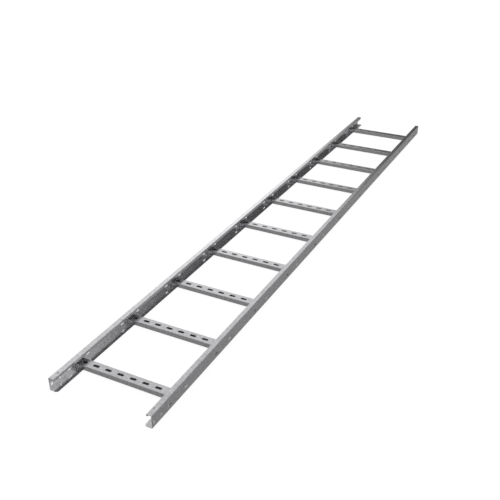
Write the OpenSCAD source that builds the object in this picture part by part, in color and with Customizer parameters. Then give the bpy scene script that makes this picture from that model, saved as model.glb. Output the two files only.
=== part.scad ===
// Cable ladder section: two C-shaped side rails joined by evenly spaced slotted rungs, bent from steel sheet.
// The origin is at the middle of the underside. The ladder runs along Y, its width lies along X and Z points up.

/* [Ladder] */
// Length of the section, along Y
ladder_length = 3000; // [1200:300:6000]
// Width over the outer faces of the two rails
ladder_width = 400; // [200:50:600]
// Distance from one rung's centre to the next
rung_pitch = 300; // [200:50:400]

/* [Side rails] */
// Height of a rail
rail_height = 50; // [42:1:110]
// Width of the top flange, from the rail's outer face
top_flange_width = 20; // [16:1:28]
// Width of the bottom flange, which carries the rungs
bottom_flange_width = 30; // [20:1:36]
// Height of the lip that is turned down from the top flange, from the rail's top
top_lip_height = 12; // [8:0.5:14]
// Thickness of the rails' sheet
rail_sheet = 1.5; // [1:0.25:2]
// Inner radius of the rails' bends
rail_bend_radius = 0.5; // [0.5:0.25:2]
// Length cut off each free corner of the bottom flange and the lip, at both ends of a rail
end_corner_cut = 6; // [2:0.5:7]

/* [Rungs] */
// Width of a rung, along Y
rung_width = 40; // [34:1:50]
// Height of a rung
rung_height = 18.5; // [14:0.5:24]
// Width of each return at a rung's underside
rung_return_width = 11; // [7:1:13]
// Thickness of the rungs' sheet
rung_sheet = 1.5; // [1:0.25:2]
// Inner radius of the rungs' bends
rung_bend_radius = 1.5; // [0.5:0.25:2]
// Clearance between a rung's end and the bend at the foot of a rail's web
rung_end_clearance = 0.5; // [0.25:0.25:2]

/* [Rung slots] */
// Length of a slot, along the rung
rung_slot_length = 26; // [16:1:32]
// Width of a slot
rung_slot_width = 11; // [6:0.5:13]
// Distance from one slot's centre to the next
rung_slot_pitch = 50; // [40:5:80]
// Least distance from a slot's end to the rung's end
rung_slot_margin = 8; // [4:1:24]

/* [Rail holes] */
// Length of a web slot, along the rail
web_slot_length = 20; // [12:1:30]
// Width of a web slot
web_slot_width = 7; // [5:0.5:9]
// Distance from a rung's centre to the web slot on either side of it
web_slot_offset = 50; // [40:1:70]
// Height of the row of web holes above the underside
web_hole_height = 18; // [14:0.5:22]
// Diameter of the round joint holes near a rail's ends
joint_hole_diameter = 9; // [6:0.5:11]
// Distance from a rail's end to the first joint hole
joint_hole_inset = 12; // [10:0.5:16]
// Distance from the first joint hole to the second
joint_hole_pitch = 40; // [24:1:44]
// Diameter of the hole in the top flange near a rail's ends
flange_hole_diameter = 7; // [4:0.5:8]
// Distance from a rail's end to the flange hole
flange_hole_inset = 34; // [16:0.5:60]
// Distance from the middle of the top flange in to the flange hole
flange_hole_shift = 1.5; // [0:0.5:3]

/* [Hidden] */
$fn = 48;

// Overlap of cutting tools past the faces that they cut
cut_over = 1;

// The rungs are centred on the length, so both ends are alike
rung_count = floor(ladder_length / rung_pitch);
rung_span = (rung_count - 1) * rung_pitch;

// A rung stands flat on the bottom flanges and reaches to the bends at the foot of both webs
rung_base = rail_sheet;
rung_length = ladder_width - 2 * (rail_sheet + rail_bend_radius + rung_end_clearance);

// As many slots as the rung has room for, centred on it
rung_slot_room = rung_length - 2 * rung_slot_margin - rung_slot_length;
rung_slot_count = floor(rung_slot_room / rung_slot_pitch) + 1;

steel = [0.66, 0.67, 0.69];
steel_dark = [0.58, 0.59, 0.61];

// Centre of a rung along the ladder
function rung_y(i) = -rung_span / 2 + (i - 1) * rung_pitch;

// A quarter ring of sheet, bent about the origin, in the quarter where X and Y have the signs given
module bend(inner_radius, sheet, sign_x, sign_y) {
    outer = inner_radius + sheet;
    intersection() {
        difference() {
            circle(r = outer);
            circle(r = inner_radius);
        }
        translate([sign_x > 0 ? 0 : -outer, sign_y > 0 ? 0 : -outer]) square(outer);
    }
}

// Section of the left rail: the web's outer face is at X = 0 and the flanges reach to +X, with Y as height
module rail_section() {
    outer = rail_bend_radius + rail_sheet;
    // Web
    translate([0, outer]) square([rail_sheet, rail_height - 2 * outer]);
    // Bottom bend and flange
    translate([outer, outer]) bend(rail_bend_radius, rail_sheet, -1, -1);
    translate([outer, 0]) square([bottom_flange_width - outer, rail_sheet]);
    // Top bend and flange
    translate([outer, rail_height - outer]) bend(rail_bend_radius, rail_sheet, -1, 1);
    translate([outer, rail_height - rail_sheet]) square([top_flange_width - 2 * outer, rail_sheet]);
    // Lip
    translate([top_flange_width - outer, rail_height - outer]) bend(rail_bend_radius, rail_sheet, 1, 1);
    translate([top_flange_width - rail_sheet, rail_height - top_lip_height])
        square([rail_sheet, top_lip_height - outer]);
}

// Section of a rung, centred on X and standing on Y = 0: a flat top, two sides and two returns
module rung_section() {
    outer = rung_bend_radius + rung_sheet;
    half = rung_width / 2;
    translate([outer - half, rung_height - rung_sheet]) square([rung_width - 2 * outer, rung_sheet]);
    for (side = [0, 1]) mirror([side, 0]) {
        translate([half - outer, rung_height - outer]) bend(rung_bend_radius, rung_sheet, 1, 1);
        translate([half - rung_sheet, outer]) square([rung_sheet, rung_height - 2 * outer]);
        translate([half - outer, outer]) bend(rung_bend_radius, rung_sheet, 1, -1);
        translate([half - rung_return_width, 0]) square([rung_return_width - outer, rung_sheet]);
    }
}

// Outline of a slot with round ends, centred, with its length along X
module slot_outline(length, width) {
    reach = (length - width) / 2;
    square([2 * reach, width], center = true);
    for (side = [-1, 1]) translate([side * reach, 0]) circle(d = width);
}

// A slot cut down through the top of a rung
module rung_slot() {
    translate([0, 0, rung_base + rung_height - rung_sheet - cut_over])
        linear_extrude(rung_sheet + 2 * cut_over)
            slot_outline(rung_slot_length, rung_slot_width);
}

// A slot cut through the left web, at the height of the row of holes
module web_slot() {
    translate([-cut_over, 0, web_hole_height])
        rotate([90, 0, 90])
            linear_extrude(rail_sheet + 2 * cut_over)
                slot_outline(web_slot_length, web_slot_width);
}

// A round hole through the left web, at the same height
module joint_hole() {
    translate([-cut_over, 0, web_hole_height])
        rotate([0, 90, 0])
            cylinder(h = rail_sheet + 2 * cut_over, d = joint_hole_diameter);
}

// A round hole down through the top flange, a little in from the flange's middle
module flange_hole() {
    translate([top_flange_width / 2 + flange_hole_shift, 0, rail_height - rail_sheet - cut_over])
        cylinder(h = rail_sheet + 2 * cut_over, d = flange_hole_diameter);
}

// What is cut off a free corner at 45 degrees: a square on its point, centred on the corner of a sheet in XY
module corner_cut() {
    rotate([0, 0, 45])
        cube([sqrt(2) * end_corner_cut, sqrt(2) * end_corner_cut, rail_sheet + 2 * cut_over], center = true);
}

// The left rail, with its web's outer face at X = 0
module rail() {
    difference() {
        translate([0, ladder_length / 2, 0])
            rotate([90, 0, 0])
                linear_extrude(ladder_length) rail_section();
        for (i = [1:rung_count], side = [-1, 1])
            translate([0, rung_y(i) + side * web_slot_offset, 0]) web_slot();
        for (end = [0, 1]) mirror([0, end, 0]) translate([0, -ladder_length / 2, 0]) {
            for (k = [0, 1])
                translate([0, joint_hole_inset + k * joint_hole_pitch, 0]) joint_hole();
            translate([0, flange_hole_inset, 0]) flange_hole();
            // Bottom flange's corner
            translate([bottom_flange_width, 0, rail_sheet / 2]) corner_cut();
            // Lip's corner
            translate([top_flange_width - rail_sheet / 2, 0, rail_height - top_lip_height])
                rotate([0, 90, 0]) corner_cut();
        }
    }
}

module side_rail_left() {
    color(steel) translate([-ladder_width / 2, 0, 0]) rail();
}

module side_rail_right() {
    color(steel) mirror([1, 0, 0]) translate([-ladder_width / 2, 0, 0]) rail();
}

module rung(i) {
    color(steel_dark)
        translate([0, rung_y(i), 0])
            difference() {
                translate([-rung_length / 2, 0, rung_base])
                    rotate([90, 0, 90])
                        linear_extrude(rung_length) rung_section();
                for (k = [0:rung_slot_count - 1])
                    translate([(k - (rung_slot_count - 1) / 2) * rung_slot_pitch, 0, 0]) rung_slot();
            }
}

side_rail_left();
side_rail_right();
for (i = [1:rung_count]) rung(i);
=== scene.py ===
# %% [markdown]
# # A steel cable ladder in a plain studio
# A cable ladder carries cables along walls and under ceilings. It is two long side rails with rungs
# between them, all bent from zinc-coated steel sheet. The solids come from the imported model. This
# lesson gives them their finish, stands them on a pale floor, lights them and sets the camera.
# Everything is in metres: X runs across the ladder, Y along it, and Z points up.

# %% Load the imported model
import math
from collections import namedtuple

import bpy
from mathutils import Matrix, Vector


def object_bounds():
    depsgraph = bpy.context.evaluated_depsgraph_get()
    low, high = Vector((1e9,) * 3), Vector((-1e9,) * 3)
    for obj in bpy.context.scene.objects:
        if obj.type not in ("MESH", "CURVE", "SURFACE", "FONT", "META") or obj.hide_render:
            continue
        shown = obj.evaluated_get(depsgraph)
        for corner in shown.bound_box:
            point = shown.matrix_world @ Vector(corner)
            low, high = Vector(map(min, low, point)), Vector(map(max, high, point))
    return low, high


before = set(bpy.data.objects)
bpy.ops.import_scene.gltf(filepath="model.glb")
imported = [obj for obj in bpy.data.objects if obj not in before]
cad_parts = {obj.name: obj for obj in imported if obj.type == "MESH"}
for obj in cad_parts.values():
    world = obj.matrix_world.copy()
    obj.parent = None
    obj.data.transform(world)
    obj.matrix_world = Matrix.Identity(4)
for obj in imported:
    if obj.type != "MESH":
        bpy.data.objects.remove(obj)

MM = 0.001
cad_low, cad_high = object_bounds()
print("ladder measures", [round(side, 3) for side in cad_high - cad_low], "m")

# %% [markdown]
# ## Rails and rungs
# The two rails and the row of rungs are solids that are already in the scene, each under its own name.
# Picking them out one by one would be tedious, so their names sort them into two lists.

# %% Sort the pieces
rail_names = sorted(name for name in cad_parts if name.startswith("side_rail"))
rung_names = sorted(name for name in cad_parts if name.startswith("rung"))
print("rails:", rail_names, "rungs:", len(rung_names))

# %% [markdown]
# ## Wiring shader nodes
# A material is a small network of nodes. Wiring it by hand takes many lines that look alike, so two
# short helpers do it. The first adds a node and sets each input to a value or links it to another node.
# The second does the same for the math node, which is needed most often.

# %% Helpers for nodes
def add_node(tree, kind, inputs=None, **settings):
    """Adds a node, sets its properties, and sets or links its inputs by name or number."""
    node = tree.nodes.new(kind)
    for name, value in settings.items():
        setattr(node, name, value)
    for key, value in (inputs or {}).items():
        socket = node.inputs[key]
        if isinstance(value, bpy.types.NodeSocket):
            tree.links.new(value, socket)
        else:
            socket.default_value = value
    return node


def add_math(tree, operation, *values):
    """Adds a math node with its values in order, and returns its result."""
    return add_node(tree, "ShaderNodeMath", dict(enumerate(values)), operation=operation).outputs[0]


print("helpers for nodes:", add_node.__name__, add_math.__name__)

# %% [markdown]
# ## Node groups
# Rails and rungs are made of the same kind of sheet and share its patches and streaks. These could be
# wired anew in every material. A node group is better: it holds the effect once, with named inputs and
# outputs, and each material places it with its own values.

# %% Helpers for groups
FLOAT = "NodeSocketFloat"
VECTOR = "NodeSocketVector"


def start_group(name, inputs, outputs):
    """Starts a node group from socket names and types. Returns its tree, input node and output node."""
    tree = bpy.data.node_groups.new(name, "ShaderNodeTree")
    for socket_name, kind in inputs.items():
        tree.interface.new_socket(name=socket_name, in_out="INPUT", socket_type=kind)
    for socket_name, kind in outputs.items():
        tree.interface.new_socket(name=socket_name, in_out="OUTPUT", socket_type=kind)
    return tree, tree.nodes.new("NodeGroupInput"), tree.nodes.new("NodeGroupOutput")


def place_group(tree, group, inputs):
    """Places a finished group in a material and sets or links its inputs."""
    return add_node(tree, "ShaderNodeGroup", inputs, node_tree=group)


print("helpers for groups:", start_group.__name__, place_group.__name__)

# %% [markdown]
# ## Zinc mottle
# Strip that has run through a zinc bath freezes into faint patches that each reflect a little
# differently. A cell pattern would give them the crisp borders of crystals, but modern strip is rolled
# almost flat afterwards, so soft noise is closer. Two sizes of it are added up: patches of about a
# centimetre and finer ones of a few millimetres.

# %% The zinc mottle group
# The level about which noise varies
NOISE_MIDDLE = 0.5
# How much smaller the finer patches are, how strong beside the wide ones, and how rough their noise is
FINER_BY = 3.1
FINE_SHARE = 0.6
FINE_GRAIN = 0.55


def make_mottle_group():
    inputs = {"Position": VECTOR, "Patch Size": FLOAT, "Contrast": FLOAT}
    tree, given, result = start_group("zinc_mottle", inputs, {"Tone": FLOAT, "Height": FLOAT})
    position = given.outputs["Position"]
    scale = add_math(tree, "DIVIDE", 1.0, given.outputs["Patch Size"])
    wide = add_node(tree, "ShaderNodeTexNoise", {"Vector": position, "Scale": scale}).outputs["Fac"]
    fine_scale = add_math(tree, "MULTIPLY", scale, FINER_BY)
    fine = add_node(tree, "ShaderNodeTexNoise",
                    {"Vector": position, "Scale": fine_scale, "Roughness": FINE_GRAIN}).outputs["Fac"]
    both = add_math(tree, "MULTIPLY_ADD", fine, FINE_SHARE, wide)
    centred = add_math(tree, "SUBTRACT", both, NOISE_MIDDLE * (1.0 + FINE_SHARE))
    tone = add_math(tree, "MULTIPLY_ADD", centred, given.outputs["Contrast"], 1.0)
    tree.links.new(tone, result.inputs["Tone"])
    tree.links.new(wide, result.inputs["Height"])
    return tree


mottle_group = make_mottle_group()
print("group", mottle_group.name, "has", len(mottle_group.nodes), "nodes")

# %% [markdown]
# ## Rolling marks
# The sheet was rolled as a long strip before it was slit and bent, so it carries very faint straight
# streaks along its length. An anisotropic shader would stretch the reflections but draw no streaks, so
# they are noise that is squeezed across the strip and stretched along it. They run along Y on the rails
# and along X on the rungs, so the stretch comes in as an input.

# %% The rolling marks group
# How many finer layers the streaks' noise has, and how strong they are
STREAK_DETAIL = 3.0
STREAK_GRAIN = 0.6


def make_streak_group():
    inputs = {"Position": VECTOR, "Stretch": VECTOR, "Contrast": FLOAT}
    tree, given, result = start_group("rolling_marks", inputs, {"Tone": FLOAT})
    squeezed = add_node(tree, "ShaderNodeVectorMath",
                        {0: given.outputs["Position"], 1: given.outputs["Stretch"]}, operation="MULTIPLY")
    noise = add_node(tree, "ShaderNodeTexNoise",
                     {"Vector": squeezed.outputs["Vector"], "Scale": 1.0, "Detail": STREAK_DETAIL,
                      "Roughness": STREAK_GRAIN})
    centred = add_math(tree, "SUBTRACT", noise.outputs["Fac"], NOISE_MIDDLE)
    tone = add_math(tree, "MULTIPLY_ADD", centred, given.outputs["Contrast"], 1.0)
    tree.links.new(tone, result.inputs["Tone"])
    return tree


streak_group = make_streak_group()
print("group", streak_group.name, "has", len(streak_group.nodes), "nodes")

# %% [markdown]
# ## The zinc-coated sheet
# Fresh zinc is bright and fairly smooth: the rails show soft reflections of the rungs. A thin dull skin
# lies on it, so a small share of each surface is matt. Mottle and rolling marks vary the colour, and
# the mottle varies the roughness too. A very low bump makes the reflections waver as rolled sheet does.
# Dents in the mesh could do that, but they would change flat faces that have to stay flat.

# %% Wire the sheet material
METAL_SHARE = 0.94
PATCH_SIZE = 9.0 * MM
MOTTLE_CONTRAST = 0.72
STREAK_CONTRAST = 0.10
BUMP_HEIGHT = 0.2 * MM
BUMP_STRENGTH = 0.05
# How far the roughness goes down and up, and the heights in the mottle at which it gets there
ROUGHNESS_SWING = 0.03
SMOOTH_HEIGHT = 0.3
ROUGH_HEIGHT = 0.7


def make_sheet_material(name, color, roughness, stretch):
    material = bpy.data.materials.new(name)
    material.use_nodes = True
    tree = material.node_tree
    shader = tree.nodes["Principled BSDF"]
    shader.inputs["Metallic"].default_value = METAL_SHARE
    place = add_node(tree, "ShaderNodeTexCoord").outputs["Object"]
    mottle = place_group(tree, mottle_group,
                         {"Position": place, "Patch Size": PATCH_SIZE, "Contrast": MOTTLE_CONTRAST})
    streaks = place_group(tree, streak_group,
                          {"Position": place, "Stretch": stretch, "Contrast": STREAK_CONTRAST})
    tone = add_math(tree, "MULTIPLY", mottle.outputs["Tone"], streaks.outputs["Tone"])
    tinted = add_node(tree, "ShaderNodeVectorMath", {0: color, "Scale": tone}, operation="SCALE")
    tree.links.new(tinted.outputs["Vector"], shader.inputs["Base Color"])
    height = mottle.outputs["Height"]
    rough = add_node(tree, "ShaderNodeMapRange",
                     {"Value": height, "From Min": SMOOTH_HEIGHT, "From Max": ROUGH_HEIGHT,
                      "To Min": roughness - ROUGHNESS_SWING, "To Max": roughness + ROUGHNESS_SWING})
    tree.links.new(rough.outputs["Result"], shader.inputs["Roughness"])
    wave = add_node(tree, "ShaderNodeBump",
                    {"Height": height, "Strength": BUMP_STRENGTH, "Distance": BUMP_HEIGHT})
    tree.links.new(wave.outputs["Normal"], shader.inputs["Normal"])
    return material


print("sheet with patches of", round(PATCH_SIZE / MM, 1), "mm")

# %% [markdown]
# ## Three sheets
# Rails and rungs are the same kind of sheet. The left rail's copy is painted a little brighter than the
# right one's: painted light, standing for the extra light that falls on the left rail. The rungs are a
# little less glossy than the rails. One material for all would lose that, and its streaks would run
# across the rungs instead of along them, so there are three.

# %% Make the three sheets
ZINC = (0.521, 0.518, 0.533)
# Lighter zinc for the left rail only: painted light for the brighter light on that rail, not a different
# sheet
LEFT_RAIL_PAINTED_LIGHT_ZINC = (0.611, 0.608, 0.624)
RAIL_ROUGHNESS = 0.16
RUNG_ROUGHNESS = 0.20
# Steps of noise in a metre, across the strip and along it
ACROSS_STRIP = 300.0
ALONG_STRIP = 5.0
STREAKS_ALONG_Y = (ACROSS_STRIP, ALONG_STRIP, ACROSS_STRIP)
STREAKS_ALONG_X = (ALONG_STRIP, ACROSS_STRIP, ACROSS_STRIP)

left_steel = make_sheet_material("zinc_left_rail", LEFT_RAIL_PAINTED_LIGHT_ZINC, RAIL_ROUGHNESS, STREAKS_ALONG_Y)
right_steel = make_sheet_material("zinc_right_rail", ZINC, RAIL_ROUGHNESS, STREAKS_ALONG_Y)
rung_steel = make_sheet_material("zinc_rung_sheet", ZINC, RUNG_ROUGHNESS, STREAKS_ALONG_X)
print("materials:", left_steel.name, right_steel.name, rung_steel.name)

# %% [markdown]
# ## Dressing the pieces
# A material shows only on a piece that carries it. Each piece's slots are emptied first, in case it
# came with a plain one, and are then filled with its own sheet.

# %% Give each piece its finish
def dress(name, material):
    """Gives the piece this one material and returns how many faces it has."""
    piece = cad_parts[name]
    piece.data.materials.clear()
    piece.data.materials.append(material)
    return len(piece.data.polygons)


faces = dress("side_rail_left", left_steel) + dress("side_rail_right", right_steel)
faces += sum(dress(name, rung_steel) for name in rung_names)
print("dressed", len(rail_names) + len(rung_names), "pieces with", faces, "faces")

# %% [markdown]
# ## Floor
# The ladder lies on a studio floor of white paint, which takes its soft shadow. One large flat face is
# enough. Lamps alone would leave it uneven, and stronger ones would wash out the metal, so the camera
# sees it mostly as plain white light. The metal sees plain light there too, but grey: a white floor
# would make the webs and the fronts of the rungs as light as the tops, and the ladder would lose its
# shape.

# %% Paint the floor
WHITE = (1.0, 1.0, 1.0, 1.0)
FLOOR_PAINT = (0.95, 0.95, 0.95, 1.0)
# The share of plain light that the camera sees, and the level of the floor in the metal
FLOOR_GLOW_SHARE = 0.90
FLOOR_MIRRORED = 0.335


def make_floor_material():
    material = bpy.data.materials.new("studio_floor_white")
    material.use_nodes = True
    tree = material.node_tree
    tree.nodes.clear()
    path = add_node(tree, "ShaderNodeLightPath")
    seen = add_math(tree, "MULTIPLY", path.outputs["Is Camera Ray"], FLOOR_GLOW_SHARE)
    mirrored = add_math(tree, "MAXIMUM", path.outputs["Is Glossy Ray"], path.outputs["Is Transmission Ray"])
    share = add_math(tree, "MAXIMUM", mirrored, seen)
    strength = add_node(tree, "ShaderNodeMapRange",
                        {"Value": path.outputs["Is Camera Ray"], "To Min": FLOOR_MIRRORED, "To Max": 1.0})
    paint = add_node(tree, "ShaderNodeBsdfDiffuse", {"Color": FLOOR_PAINT})
    glow = add_node(tree, "ShaderNodeEmission", {"Color": WHITE, "Strength": strength.outputs["Result"]})
    mixed = add_node(tree, "ShaderNodeMixShader",
                     {0: share, 1: paint.outputs["BSDF"], 2: glow.outputs["Emission"]})
    out = add_node(tree, "ShaderNodeOutputMaterial")
    tree.links.new(mixed.outputs["Shader"], out.inputs["Surface"])
    return material


floor_white = make_floor_material()
print("floor material has", len(floor_white.node_tree.nodes), "nodes")

# %% Lay the floor
FLOOR_HALF = 30.0
# The floor lies a hair below the ladder, so that the two faces don't share one plane
FLOOR_GAP = 0.2 * MM


def make_floor():
    mesh = bpy.data.meshes.new("studio_floor")
    height = cad_low.z - FLOOR_GAP
    corners = [(x * FLOOR_HALF, y * FLOOR_HALF, height) for x, y in ((-1, -1), (1, -1), (1, 1), (-1, 1))]
    mesh.from_pydata(corners, [], [(0, 1, 2, 3)])
    floor = bpy.data.objects.new("studio_floor", mesh)
    bpy.context.scene.collection.objects.link(floor)
    floor.data.materials.append(floor_white)
    return floor


studio_floor = make_floor()
print("floor at height", round(studio_floor.data.vertices[0].co.z, 4), "m")

# %% [markdown]
# ## Light
# Sheet metal has almost no colour of its own: it shows what stands around it. Walls and lamps could be
# built as meshes, but a world background gives the same reflections with less work. It is plain grey
# overhead and behind the camera, and bright in front of it, where the flat tops of the rungs and rails
# mirror it. A dark panel stands in that bright wall, and the tops darken towards the far end because
# they mirror it. A few soft lamps add the rest. Every place in a background is a direction, so the
# helpers work with angles.

# %% Directions in the studio
def direction(turn, tilt):
    """The direction at an angle turned left from +Y and an angle above the horizon, both in degrees."""
    turn, tilt = math.radians(turn), math.radians(tilt)
    return Vector((-math.sin(turn) * math.cos(tilt), math.cos(turn) * math.cos(tilt), math.sin(tilt)))


print("a quarter turn left points to", [round(part, 2) for part in direction(90.0, 0.0)])

# %% Steps from one level to another
def add_step(tree, value, start, end, low, high):
    """A smooth step of a value from one level to another."""
    return add_node(tree, "ShaderNodeMapRange",
                    {"Value": value, "From Min": start, "From Max": end, "To Min": low, "To Max": high},
                    interpolation_type="SMOOTHSTEP").outputs["Result"]


def add_soft_edge(tree, angle, middle, reach, low, high):
    """A smooth step of an angle, about a middle and over a reach to either side that are in degrees."""
    return add_step(tree, angle, math.radians(middle - reach), math.radians(middle + reach), low, high)


print("helpers for levels:", add_step.__name__, add_soft_edge.__name__)

# %% [markdown]
# ## The wall and its dark panel
# The bright wall fades into the grey room at either side and overhead. The panel's left side leans, so
# that the panel grows narrower towards its top. Its edges are soft, because the metal blurs what it
# mirrors, and a sharp edge would draw a line across the tops.

# %% Levels of the room, the wall and the panel
ROOM_LEVEL = 0.362
WALL_LEVEL = 0.90
# The wall begins where a direction's Y part has the first value, and is at its full level at the second
WALL_EDGE = (0.20, 0.50)

PANEL_LEVEL = 0.08
# Sides, turned left from +Y, and the top, above the horizon, each with the reach of its soft edge (degrees)
PANEL_LEFT, PANEL_LEFT_REACH = 17.7, 4.5
PANEL_RIGHT, PANEL_RIGHT_REACH = -41.5, 2.5
PANEL_TOP, PANEL_TOP_REACH = 48.0, 4.0
# How much the left side turns for each degree of height, and the height at which it is at PANEL_LEFT
PANEL_LEAN = -0.4
PANEL_LEAN_FROM = 24.5


def add_panel_mask(tree, turn, tilt):
    """One inside the dark panel and zero outside it."""
    under_top = add_soft_edge(tree, tilt, PANEL_TOP, PANEL_TOP_REACH, 1.0, 0.0)
    above = add_math(tree, "SUBTRACT", tilt, math.radians(PANEL_LEAN_FROM))
    lean = add_math(tree, "MULTIPLY", above, PANEL_LEAN)
    leaning_turn = add_math(tree, "SUBTRACT", turn, lean)
    inside_left = add_soft_edge(tree, leaning_turn, PANEL_LEFT, PANEL_LEFT_REACH, 1.0, 0.0)
    inside_right = add_soft_edge(tree, turn, PANEL_RIGHT, PANEL_RIGHT_REACH, 0.0, 1.0)
    return add_math(tree, "MULTIPLY", add_math(tree, "MULTIPLY", under_top, inside_left), inside_right)


print("the panel is", round(PANEL_LEFT - PANEL_RIGHT, 1), "degrees wide")

# %% [markdown]
# ## Soft lamps
# Each lamp is a round glow in the background that fades from its inner to its outer radius. Area lamps
# would do as well, but they would light the floor unevenly. Two glows beside the panel brighten the
# middle of the tops. A wide one high on the right lightens the inside of the left rail, and a small
# strong one low on the right lightens the rails' bends. The widest stands behind on the right and is
# there for views of the ladder from behind.

# %% Places of the soft lamps
# Turned left from +Y, above the horizon, the two radii, all in degrees, and how much light it adds
SoftLamp = namedtuple("SoftLamp", "turn tilt inner outer adds")
SOFT_LAMPS = (
    SoftLamp(turn=25.5, tilt=24.0, inner=1.5, outer=6.5, adds=0.36),
    SoftLamp(turn=31.5, tilt=28.0, inner=1.5, outer=7.0, adds=0.28),
    SoftLamp(turn=-60.0, tilt=42.0, inner=8.0, outer=32.0, adds=0.25),
    SoftLamp(turn=-35.5, tilt=9.0, inner=2.0, outer=7.0, adds=1.50),
    SoftLamp(turn=-130.0, tilt=14.0, inner=30.0, outer=60.0, adds=0.45),
)


def add_glow(tree, toward, lamp):
    """The light that a lamp adds in a direction."""
    near = add_node(tree, "ShaderNodeVectorMath", {0: toward, 1: direction(lamp.turn, lamp.tilt)},
                    operation="DOT_PRODUCT").outputs["Value"]
    edge = math.cos(math.radians(lamp.outer))
    full = math.cos(math.radians(lamp.inner))
    return add_step(tree, near, edge, full, 0.0, lamp.adds)


print("soft lamps:", len(SOFT_LAMPS))

# %% [markdown]
# ## The world
# The world works out the turn and the height of each direction, and puts wall, panel and lamps
# together. Only reflections and light see them: the camera sees plain white, so that the backdrop stays
# clean.

# %% Set the world
def make_world():
    world = bpy.data.worlds.new("studio_world")
    world.use_nodes = True
    tree = world.node_tree
    tree.nodes.clear()
    toward = add_node(tree, "ShaderNodeTexCoord").outputs["Generated"]
    axes = add_node(tree, "ShaderNodeSeparateXYZ", {"Vector": toward}).outputs
    turn = add_math(tree, "ARCTAN2", add_math(tree, "MULTIPLY", axes["X"], -1.0), axes["Y"])
    tilt = add_math(tree, "ARCSINE", axes["Z"])
    wall = add_step(tree, axes["Y"], *WALL_EDGE, ROOM_LEVEL, WALL_LEVEL)
    panel = add_panel_mask(tree, turn, tilt)
    wall_and_panel = {"Factor": panel, "A": wall, "B": PANEL_LEVEL}
    light = add_node(tree, "ShaderNodeMix", wall_and_panel).outputs["Result"]
    for lamp in SOFT_LAMPS:
        light = add_math(tree, "ADD", light, add_glow(tree, toward, lamp))
    camera_ray = add_node(tree, "ShaderNodeLightPath").outputs["Is Camera Ray"]
    shown = add_node(tree, "ShaderNodeMix", {"Factor": camera_ray, "A": light, "B": 1.0}).outputs["Result"]
    background = add_node(tree, "ShaderNodeBackground", {"Color": WHITE, "Strength": shown})
    out = add_node(tree, "ShaderNodeOutputWorld")
    tree.links.new(background.outputs["Background"], out.inputs["Surface"])
    return world


studio_world = make_world()
bpy.context.scene.world = studio_world
print("world has", len(studio_world.node_tree.nodes), "nodes")

# %% [markdown]
# ## Overhead light
# A wide soft light overhead finishes the studio: it lifts the floor to full white and leaves a soft
# shadow under the ladder. A brighter world would whiten the floor too, but the metal would mirror it.
# This lamp is kept out of mirror reflections, so the metal goes on showing the studio alone.

# %% Hang the overhead light
# A sun lamp of pi watts per square metre lights white paint to full white, so the level is a share of that
OVERHEAD_LEVEL = 0.74
OVERHEAD_SPREAD = math.radians(100.0)


def make_overhead_light():
    lamp = bpy.data.lights.new("overhead_light", "SUN")
    lamp.energy = math.pi * OVERHEAD_LEVEL
    lamp.angle = OVERHEAD_SPREAD
    light = bpy.data.objects.new("overhead_light", lamp)
    light.visible_glossy = False
    bpy.context.scene.collection.objects.link(light)
    return light


overhead_light = make_overhead_light()
print("overhead light gives", round(overhead_light.data.energy, 2), "W per square metre")

# %% [markdown]
# ## Camera
# The camera stands beyond the near end of the ladder and to the right of it, and looks down along it,
# so the rails run away to the upper right. It could be placed by its own coordinates. The point it aims
# at, two angles, a slight roll and a distance say more, and each can be changed by itself.

# %% Set the camera
AIM = Vector((-0.0496, -0.3517, 0.0))
VIEW_TURN = math.radians(26.87)
VIEW_TILT = math.radians(28.69)
VIEW_ROLL = math.radians(0.10)
VIEW_DISTANCE = 3.1772
LENS = 51.46


def make_camera():
    camera = bpy.data.objects.new("studio_camera", bpy.data.cameras.new("studio_camera"))
    bpy.context.scene.collection.objects.link(camera)
    back = Vector((math.sin(VIEW_TURN) * math.cos(VIEW_TILT), -math.cos(VIEW_TURN) * math.cos(VIEW_TILT),
                   math.sin(VIEW_TILT)))
    facing = (-back).to_track_quat("-Z", "Y").to_matrix().to_4x4() @ Matrix.Rotation(VIEW_ROLL, 4, "Z")
    camera.matrix_world = Matrix.Translation(AIM + back * VIEW_DISTANCE) @ facing
    camera.data.lens = LENS
    bpy.context.scene.camera = camera
    return camera


studio_camera = make_camera()
print("camera at", [round(part, 3) for part in studio_camera.location])

# %% [markdown]
# ## Colours
# Blender's usual view transform softens bright places and dulls colours, which flatters landscapes. For
# a plain product view the Standard one is right: it shows each colour as it was written.

# %% Show colours as they are written
bpy.context.scene.view_settings.view_transform = "Standard"
print("view transform:", bpy.context.scene.view_settings.view_transform)

# %% [markdown]
# ## Reflections inside the channels
# A rail is a channel of bright sheet, and so is a rung, so light bounces between their inner faces many
# times before it gets out. With Blender's usual few bounces the inner corners come out a little too
# dark. A lamp inside would hide that but light the floor too, so the limit for mirror bounces is
# raised.

# %% Allow more bounces
MIRROR_BOUNCES = 12
OTHER_BOUNCES = 4
bpy.context.scene.cycles.glossy_bounces = MIRROR_BOUNCES
bpy.context.scene.cycles.max_bounces = MIRROR_BOUNCES + OTHER_BOUNCES
print("mirror bounces:", bpy.context.scene.cycles.glossy_bounces)
